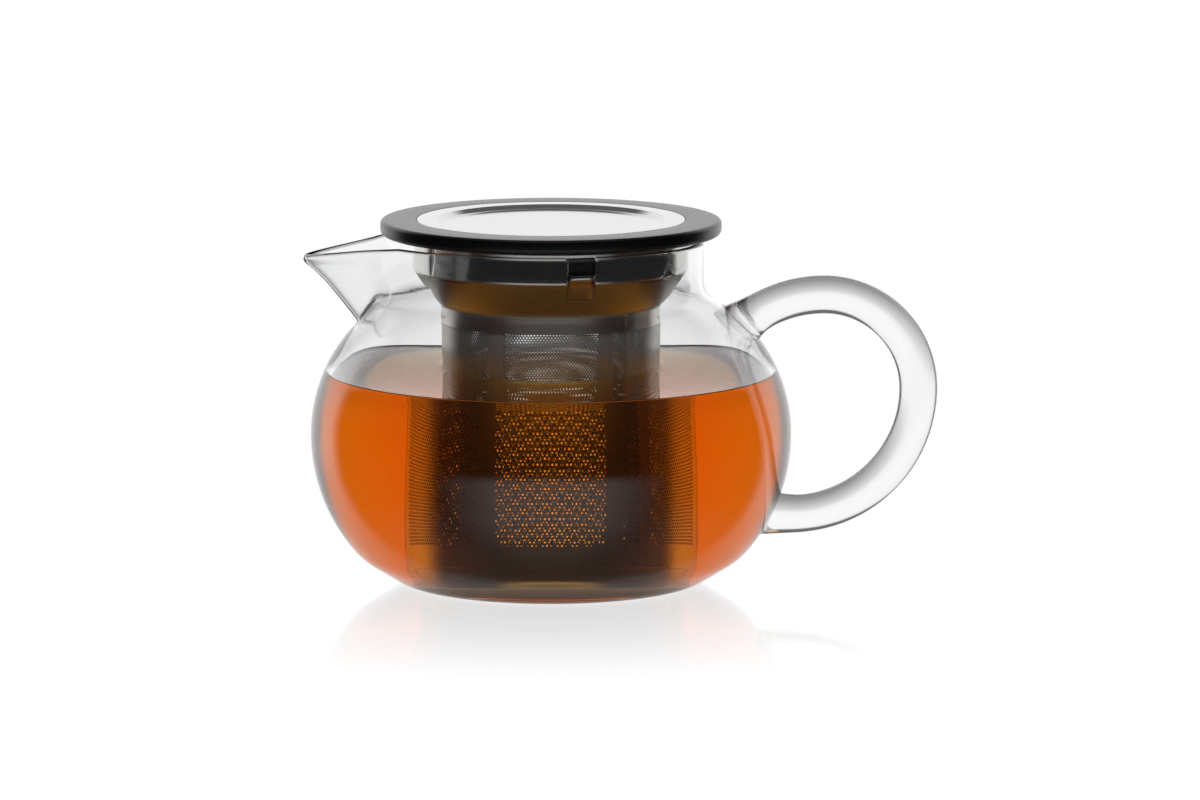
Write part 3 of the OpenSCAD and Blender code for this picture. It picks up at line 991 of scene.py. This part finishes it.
def build_world():
    """A white wall behind, a dark room in front with a soft box high up, and a grey floor all round."""
    world = bpy.data.worlds.new("studio")
    bpy.context.scene.world = world
    world.use_nodes = True
    nodes, links = world.node_tree.nodes, world.node_tree.links
    nodes.clear()
    out = nodes.new("ShaderNodeOutputWorld")
    background = nodes.new("ShaderNodeBackground")
    direction = nodes.new("ShaderNodeTexCoord")
    split = nodes.new("ShaderNodeSeparateXYZ")
    links.new(direction.outputs["Generated"], split.inputs["Vector"])
    round_angle = angle_node(nodes, links, "ARCTAN2", split.outputs["X"], split.outputs["Y"])
    height = angle_node(nodes, links, "ARCSINE", split.outputs["Z"])
    front = nodes.new("ShaderNodeMixRGB")
    links.new(stepped(nodes, links, round_angle, TABLE_REACH, -180, 180), front.inputs["Fac"])
    links.new(stepped(nodes, links, height, FRONT_LIGHT, -90, 90, FRONT_TINT), front.inputs["Color1"])
    links.new(stepped(nodes, links, height, TABLE_LIGHT, -90, 90), front.inputs["Color2"])
    mix = nodes.new("ShaderNodeMixRGB")
    links.new(stepped(nodes, links, round_angle, WALL_REACH, -180, 180), mix.inputs["Fac"])
    links.new(front.outputs["Color"], mix.inputs["Color1"])
    links.new(stepped(nodes, links, height, BACK_LIGHT, -90, 90), mix.inputs["Color2"])
    links.new(mix.outputs["Color"], background.inputs["Color"])
    background.inputs["Strength"].default_value = 1.0
    links.new(background.outputs["Background"], out.inputs["Surface"])


def build_camera():
    """A long lens far off, looking a little down at the pot's front."""
    aim = Vector(CAMERA_AIM)
    tilt = math.radians(CAMERA_TILT)
    data = bpy.data.cameras.new("camera")
    data.lens = CAMERA_LENS
    data.sensor_width = CAMERA_SENSOR
    camera = bpy.data.objects.new("camera", data)
    camera.location = aim + CAMERA_DISTANCE * Vector((0, -math.cos(tilt), math.sin(tilt)))
    camera.rotation_euler = (math.radians(90) - tilt, 0, 0)
    bpy.context.scene.collection.objects.link(camera)
    bpy.context.scene.camera = camera


build_floor()
build_world()
build_camera()

scene = bpy.context.scene
scene.view_settings.view_transform = "Standard"
scene.cycles.max_bounces = GLASS_BOUNCES
scene.cycles.transmission_bounces = GLASS_BOUNCES
scene.cycles.glossy_bounces = OTHER_BOUNCES
scene.cycles.transparent_max_bounces = OTHER_BOUNCES
